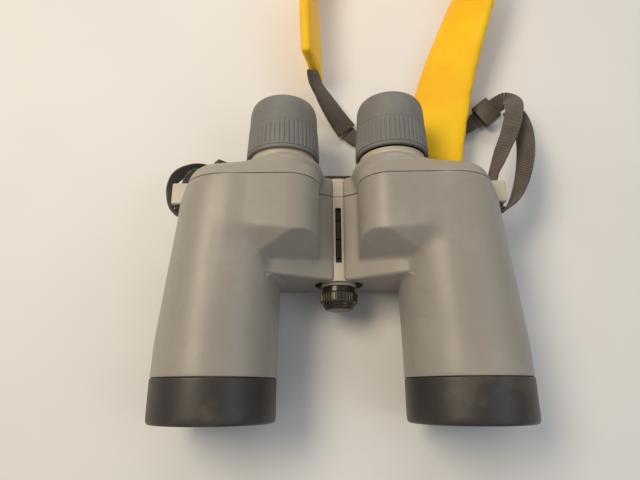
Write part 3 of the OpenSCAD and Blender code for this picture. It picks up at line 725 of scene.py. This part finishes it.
def makeCover(side, look):
    # every ray from the hole's rim, turned from sideways to straight back, is followed until it meets
    # F = 0, where F is the soft greater of (r - side wall) and (d - rear face), joined with the web
    angles = np.linspace(0, 2 * math.pi, look["columns"], endpoint=False)
    centre = np.asarray(look["centre"])
    start = look["coverDepth"]
    hole = circleHit(centre, angles, *look["eyepiece"], look["eyepieceHole"], far=True)
    seamCircles = barrelCircles(start, look) + look["bulge"]
    seam = reachOf(supportOf(seamCircles), centre, angles)
    rear = reachOf(supportOf([(32.4, 38, 24)]), centre, angles)
    both = reachOf(supportOf([(32.4, 38, 24), (68, 22, 14), (68, 46, 14)]), centre, angles)
    web = reachOf(supportOf(cornerCircles(look["web"], look["webCorner"])), centre, angles)
    hinge = hingeHit(centre, angles, look)
    body = sectionOf(look["seamDepth"], angles, look)

    def wallAt(depth):
        t = np.clip((depth - start) / (134.3 - start), 0, 1)
        u = np.clip((depth - 134.3) / 6.7, 0, 1.3)
        return seam * (1 - t) + both * t + (rear - both) * u

    def valueAt(r, depth, thin):
        x = centre[0] + r * np.cos(angles)
        face = np.minimum(141.5, 146.15 - 0.15 * x) - thin
        shell = softMax(r - wallAt(depth) + thin, depth - face, 7.0)
        webPart = softMax(r - web + thin, depth - look["webEndDepth"] + thin, 3.0)
        joined = softMin(shell, webPart, 2.0)
        return softMax(joined, r - hinge + thin * 0.5, 1.2)

    def surface(turns, thin):
        rows = []
        for turn in turns:
            low, high = np.zeros(len(angles)), np.full(len(angles), 90.0)
            for _ in range(34):
                mid = (low + high) / 2
                value = valueAt(hole + mid * math.cos(turn), start + mid * math.sin(turn), thin)
                low, high = np.where(value < 0, mid, low), np.where(value < 0, high, mid)
            rows.append((start + low * math.sin(turn), hole + low * math.cos(turn)))
        return rows

    turns = np.concatenate([[0.0], np.radians(np.linspace(0.8, 90, 46))])
    outer = surface(turns, 0.0)
    inner = surface(np.radians(np.linspace(90, 0, 14)), look["coverWall"])
    depth, radii = inner[-1]
    inner[-1] = (depth, np.minimum(radii, body - look["wall"]))
    points = [(outer[0][0], outer[0][1] - 0.4)]
    points += [(outer[0][0] + 0.12, outer[0][1] - 0.12)] + outer[1:] + inner
    grid = placeRows([(depth, centre, radii) for depth, radii in points], angles, side)
    return gridMesh("rear_cover_shell", grid, closeRows=True, flip=side < 0)


def softProfile(points, steps=6):
    # a closed outline of (radius, depth, cut): each corner becomes a curve that starts and ends up to
    # cut away from it, with p = (1-t)^2 a + 2 t (1-t) corner + t^2 b
    made = []
    count = len(points)
    spot = [np.array(p[:2], float) for p in points]
    for i, (_, _, cut) in enumerate(points):
        before, here, after = spot[i - 1], spot[i], spot[(i + 1) % count]
        back, on = before - here, after - here
        a = here + back * min(cut / max(np.linalg.norm(back), 1e-9), 0.49)
        b = here + on * min(cut / max(np.linalg.norm(on), 1e-9), 0.49)
        for t in np.linspace(0, 1, steps if cut > 0 else 1):
            made.append((1 - t) ** 2 * a + 2 * t * (1 - t) * here + t * t * b)
    return np.array(made)


def turned(name, profile, x, z, columns=144, groove=None):
    # radius about the axis and depth along it, with an optional groove depth for each row and angle
    profile = np.asarray(profile, float)
    angles = np.linspace(0, 2 * math.pi, columns, endpoint=False)
    radii = np.repeat(profile[:, :1], columns, axis=1)
    if groove is not None:
        radii = radii - groove(radii, profile[:, 1:2], angles[None, :])
    depth = np.broadcast_to(profile[:, 1:2] - midDepth, radii.shape)
    grid = np.stack([x + radii * np.cos(angles), depth, z + radii * np.sin(angles)], axis=2)
    return gridMesh(name, grid, closeRows=True, flip=True)


def longRows(profile, gap):
    # puts more points on the outline's long straight runs
    made = []
    for a, b in zip(profile, np.roll(profile, -1, axis=0)):
        count = max(1, int(np.linalg.norm(b - a) / gap))
        made += [a + (b - a) * t for t in np.arange(count) / count]
    return np.array(made)


def bevelCopy(name, node, width, segments=4, angle=32):
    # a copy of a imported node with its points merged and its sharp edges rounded
    source = bpy.data.objects[node]
    mesh = source.data.copy()
    mesh.transform(source.matrix_world)
    mesh.materials.clear()
    piece = bpy.data.objects.new(name, mesh)
    bpy.context.scene.collection.objects.link(piece)
    work = bmesh.new()
    work.from_mesh(mesh)
    bmesh.ops.remove_doubles(work, verts=work.verts, dist=0.00001)
    bmesh.ops.dissolve_limit(work, angle_limit=math.radians(1), verts=work.verts, edges=work.edges)
    sharp = [e for e in work.edges if len(e.link_faces) == 2 and e.calc_face_angle(0) > math.radians(angle)]
    if width > 0:
        bmesh.ops.bevel(work, geom=sharp, offset=width * mm, offset_type="OFFSET", segments=segments,
                        profile=0.5, affect="EDGES", clamp_overlap=True)
    bmesh.ops.triangulate(work, faces=work.faces)
    for face in work.faces:
        face.smooth = True
    for edge in work.edges:
        if len(edge.link_faces) == 2 and edge.calc_face_angle(0) > math.radians(40):
            edge.smooth = False
    bmesh.ops.recalc_face_normals(work, faces=work.faces)
    work.to_mesh(mesh)
    work.free()
    return piece


def dress(material, *nodes):
    # gives a carried-over node's own slots a material
    for node in nodes:
        carried = bpy.data.objects[node]
        for k in range(max(1, len(carried.material_slots))):
            if not carried.material_slots:
                carried.data.materials.append(material)
            carried.material_slots[k].material = material


# near-black material: black paint inside the halves, and painted shade on the hinge knuckles and their spokes
blackAndSlotShade = mouldedMaterial("blackPaintAndSlotShade", finishes["dark"])
housing = mouldedMaterial("housingPlastic", finishes["housing"])
ringRubber = mouldedMaterial("ringRubber", finishes["ring"])
cupRubber = mouldedMaterial("cupRubber", finishes["cup"])
beige = mouldedMaterial("beigePlastic", finishes["beige"])
capPlastic = mouldedMaterial("capPlastic", finishes["cap"])
keeperPlastic = mouldedMaterial("keeperPlastic", finishes["keeper"])
aluminium = mouldedMaterial("castAluminium", finishes["aluminium"])
steel = mouldedMaterial("screwSteel", finishes["steel"])
bronze = mouldedMaterial("bushBronze", finishes["bronze"])
glass = glassMaterial("coatedGlass", (0.012, 0.030, 0.026), (0.05, 0.16, 0.22))
prismGlass = glassMaterial("prismGlass", (0.30, 0.36, 0.38), (0.42, 0.48, 0.50))

# Focus ring: number of grooves, their depth and share of the pitch, and how far they run, then where the
# ring starts on each side and its outline from there, in millimetres
focusSet = dict(count=48, deep=0.62, share=0.36, start=2.5, run=12.5, fade=3.4, ridge=20.0,
                front={"left": 145.2, "right": 146.5}, gap=0.55, columns=960,
                outline=[(19.6, 0, 0.2), (21.25, 0, 0.35), (21.6, 0.7, 0.4), (21.6, 1.3, 0.3),
                         (21.1, 1.7, 0.2), (21.15, 2.2, 0.2), (21.55, 2.4, 0.3), (20.75, 18.3, 0.25),
                         (20.45, 18.5, 0.1), (16.2, 18.5, 0), (16.2, 12, 0), (19.6, 12, 0)])
# Eyecup: how far behind the ring's front it starts, and its outline from there
cupSet = dict(behind=18.5, gap=1.0, columns=160,
              outline=[(16.2, 0.05, 0), (20.5, 0.05, 0.3), (20.45, 2, 1), (20.1, 11.5, 3), (19.2, 15.6, 2.2),
                       (17.0, 18.0, 2.4), (14.8, 18.0, 1.2), (13.1, 16.4, 1.0), (14.4, 13.6, 1.0),
                       (16.2, 8, 0.5)])
# Objective ring: its axis, and its outline
objectiveSet = dict(axis=(66.5, 32.7), gap=1.2, columns=192,
                    outline=[(30.5, 21.8, 0.3), (30.5, 6.5, 0), (26.6, 6.5, 0.2), (26.6, 1.0, 1.2),
                             (29.0, 0.0, 1.5), (32.3, 0.0, 2.6), (32.7, 3.2, 1.2), (32.7, 21.8, 0.5)])
# Hinge knuckles: where the first starts, the pitch and length of each, outer radius, bore and which ones
knuckleSet = dict(first=76, pitch=11.4, length=11, radius=11.2, bore={"left": 5.05, "right": 6.55},
                  ones={"left": (0, 2), "right": (1, 3)}, spoke=(8.4, 15.4, 3.2), down=20)
# Screw holes in the rear cover: radius, how far in front of and behind the mark they run
screwSet = dict(radius=2.6, before=2.4, behind=12)
# Strap lug: the bevel, where its root starts and how far the root is drawn in under the shell, in metres
lugSet = dict(bevel=1.1, root=0.0890, drawn=0.0065)
hingeHeight = 20.5


def shifted(outline, depth):
    return [(radius, depth + d, cut) for radius, d, cut in outline]


def bodyOf(node):
    for body, members in frame["record"]["behaviour"]["bodies"].items():
        if node in members:
            return body


def focusGroove(front):
    # each groove is a smoothed step of cos(count * angle), grown in and faded out along the ring
    def groove(radii, depth, angles):
        turn = np.cos(angles * focusSet["count"])
        edge = math.cos(math.pi * focusSet["share"])
        wave = np.clip((turn - edge + 0.25) / 0.5, 0, 1)
        wave = wave * wave * (3 - 2 * wave)
        along = depth - front
        grow = np.clip((along - focusSet["start"]) / 0.7, 0, 1)
        end = focusSet["start"] + focusSet["run"] + focusSet["fade"]
        shrink = np.clip((end - along) / focusSet["fade"], 0, 1)
        return focusSet["deep"] * wave * grow * shrink * (radii > focusSet["ridge"])
    return groove


def cutScrewHoles(cover, side, look):
    holes = []
    for x, z, depth in look["screws"]:
        first, last = depth - screwSet["before"], depth + screwSet["behind"]
        outline = softProfile([(0, first, 0), (screwSet["radius"], first, 0.2),
                               (screwSet["radius"], last, 0), (0, last, 0)])
        holes.append(turned("screw_hole", outline, side * x, z, 40))
    for hole in holes:
        cut = cover.modifiers.new("cut", "BOOLEAN")
        cut.operation, cut.solver, cut.object = "DIFFERENCE", "EXACT", hole
        applyModifier(cover, cut)
        bpy.data.objects.remove(hole)


def spokeMesh(name, side, start):
    # the short arm between a knuckle and its housing: a box turned down from level about the hinge
    near, far, thick = knuckleSet["spoke"]
    low, high = np.array([near, start, -thick]), np.array([far, start + knuckleSet["length"], thick])
    corners = np.array([[(low, high)[i][0], (low, high)[j][1], (low, high)[k][2]]
                        for i in (0, 1) for j in (0, 1) for k in (0, 1)])
    turn = math.radians(-knuckleSet["down"])
    x = corners[:, 0] * math.cos(turn) - corners[:, 2] * math.sin(turn)
    z = corners[:, 0] * math.sin(turn) + corners[:, 2] * math.cos(turn)
    points = np.column_stack([side * x, corners[:, 1] - midDepth, hingeHeight + z])
    faces = np.array([[0, 1, 3, 2], [4, 6, 7, 5], [0, 4, 5, 1], [2, 3, 7, 6], [0, 2, 6, 4], [1, 5, 7, 3]])
    return putMesh(name, points, faces if side > 0 else faces[:, ::-1])


def makeKnuckles(label, side, look):
    bore, radius = look["bore"][label], look["radius"]
    for one in look["ones"][label]:
        start = look["first"] + one * look["pitch"]
        end = start + look["length"]
        outline = softProfile([(bore, start, 0), (radius, start, 0.7), (radius, end, 0.7), (bore, end, 0)])
        knuckle = turned(f"{label}_knuckle", outline, 0, hingeHeight, 96)
        # the knuckles and their spokes are near-black as painted shade for the dark inside of the strip's
        # slot
        finishPiece(knuckle, blackAndSlotShade, "black_metal", f"{label}_half", f"{label}_body")
        spoke = spokeMesh(f"{label}_knuckle_spoke", side, start)
        finishPiece(spoke, blackAndSlotShade, "black_metal", f"{label}_half", f"{label}_body")


def makeObjectiveRing(label, side, look):
    outline = longRows(softProfile(look["outline"]), look["gap"])
    x, z = side * look["axis"][0], look["axis"][1]
    ring = turned(f"{label}_objective_rubber", outline, x, z, look["columns"])
    finishPiece(ring, ringRubber, "ring_rubber", f"{label}_half", f"{label}_objective_ring")


def makeEyepiece(label, side, axis):
    x, z = side * axis[0], axis[1]
    front = focusSet["front"][label]
    outline = longRows(softProfile(shifted(focusSet["outline"], front)), focusSet["gap"])
    grip = turned(f"{label}_focus_grip", outline, x, z, focusSet["columns"], focusGroove(front))
    finishPiece(grip, cupRubber, "grip_rubber", f"{label}_focus", f"{label}_focus_ring")
    outline = longRows(softProfile(shifted(cupSet["outline"], front + cupSet["behind"])), cupSet["gap"])
    cup = turned(f"{label}_cup_rubber", outline, x, z, cupSet["columns"])
    finishPiece(cup, cupRubber, "cup_rubber", bodyOf(f"{label}_eyecup"), f"{label}_eyecup")


def makeLug(label, side, look):
    lug = bevelCopy(f"{label}_lug_moulding", f"{label}_strap_lug", look["bevel"], 5)
    for point in lug.data.vertices:
        if abs(point.co.x) < look["root"]:
            point.co.x -= side * look["drawn"]
    finishPiece(lug, beige, "beige_plastic", f"{label}_half", f"{label}_strap_lug")


def dressInside(label):
    # the nodes inside a half keep their own shapes
    dress(glass, f"{label}_crown_lens", f"{label}_flint_lens", f"{label}_field_lens", f"{label}_eye_lens")
    dress(prismGlass, f"{label}_front_prism", f"{label}_rear_prism")
    dress(blackAndSlotShade, f"{label}_objective_cell", f"{label}_lens_retainer", f"{label}_eyepiece_cell")
    dress(ringRubber, f"{label}_objective_seal")
    dress(aluminium, f"{label}_prism_plate")
    dress(beige, f"{label}_eyepiece_sleeve")
    dress(steel, f"{label}_cover_screws")


def makeHalf(label, side, look):
    shell = makeHousing(side, look)
    finishPiece(shell, housing, "housing_plastic", f"{label}_half", f"{label}_body")
    cover = makeCover(side, look)
    cutScrewHoles(cover, side, look)
    finishPiece(cover, housing, "housing_plastic", f"{label}_half", f"{label}_rear_cover")
    makeKnuckles(label, side, knuckleSet)
    makeObjectiveRing(label, side, objectiveSet)
    makeEyepiece(label, side, look["eyepiece"])
    makeLug(label, side, lugSet)
    dressInside(label)
    print(f"{label} half: {len(shell.data.polygons)} and {len(cover.data.polygons)} faces in its shells")


for label, side in sides.items():
    makeHalf(label, side, housingSet)

# Hinge: the strip's bevel and where its seam shows, in metres, then the outlines of the rear plug and
# of the collar under the strip's front
hingeSet = dict(bevel=0.45, seam=(0.0327, 0.0002),
                plug=[(0, 121.8, 0), (11.4, 121.8, 0.4), (11.4, 134.6, 1.4), (10.2, 135.8, 1.2),
                      (0, 135.8, 0)],
                collar=[(7.7, 72.6, 0), (9.6, 72.6, 0.3), (9.9, 73.2, 0.3), (9.9, 74.6, 0.2), (7.7, 74.6, 0)])
strip = bevelCopy("hinge_strip_moulding", "hinge_strip", hingeSet["bevel"], 3)
finishPiece(strip, mouldedMaterial("hingeStrip", finishes["beige"], [hingeSet["seam"]]), "beige_plastic",
            "left_half", "hinge_strip")
plug = turned("hinge_rear_plug", longRows(softProfile(hingeSet["plug"]), 1.0), 0, hingeHeight, 120)
finishPiece(plug, beige, "beige_plastic", "left_half", "hinge_end_cap")
collar = turned("hinge_collar", softProfile(hingeSet["collar"]), 0, hingeHeight, 96)
finishPiece(collar, beige, "beige_plastic", "left_half")

# Tripod cap: knurls, their depth, where they start and end, and its outline
capSet = dict(count=36, deep=0.42, ridge=10.4, start=63.6, end=69.0, gap=0.6, columns=720,
              outline=[(0, 59.4, 0), (7.4, 59.4, 1.2), (8.2, 60.4, 0.6), (8.4, 61.5, 0.3), (9.1, 61.7, 0.4),
                       (9.3, 63.0, 0.3), (10.4, 63.2, 0.5), (10.8, 64.0, 0.4), (10.8, 68.4, 0.4),
                       (10.2, 69.0, 0.4), (9.4, 69.3, 0.2), (9.4, 72.4, 0.3), (7.9, 72.4, 0), (7.9, 61.7, 0),
                       (0, 61.7, 0)])


def capGroove(radii, depth, angles):
    # fine knurling on the widest step: a clipped cos(count * angle)
    wave = np.clip((np.cos(angles * capSet["count"]) + 0.1) / 0.6, 0, 1)
    grow = np.clip((depth - capSet["start"]) / 0.8, 0, 1)
    shrink = np.clip((capSet["end"] - depth) / 0.8, 0, 1)
    return capSet["deep"] * wave * (radii > capSet["ridge"]) * grow * shrink


cap = turned("tripod_cap_moulding", longRows(softProfile(capSet["outline"]), capSet["gap"]), 0, hingeHeight,
             capSet["columns"], capGroove)
finishPiece(cap, capPlastic, "cap_plastic", bodyOf("tripod_cap"), "tripod_cap")
for name in ("left_keeper", "right_keeper"):
    keeper = bevelCopy("strap_" + name, name, 0.7, 4)
    finishPiece(keeper, keeperPlastic, "keeper_plastic", None, name)
    followStrap(keeper)
dress(steel, "hinge_shaft")
dress(blackAndSlotShade, "hinge_washers")
dress(bronze, "hinge_bushes")
print("hinge, cap and keepers")
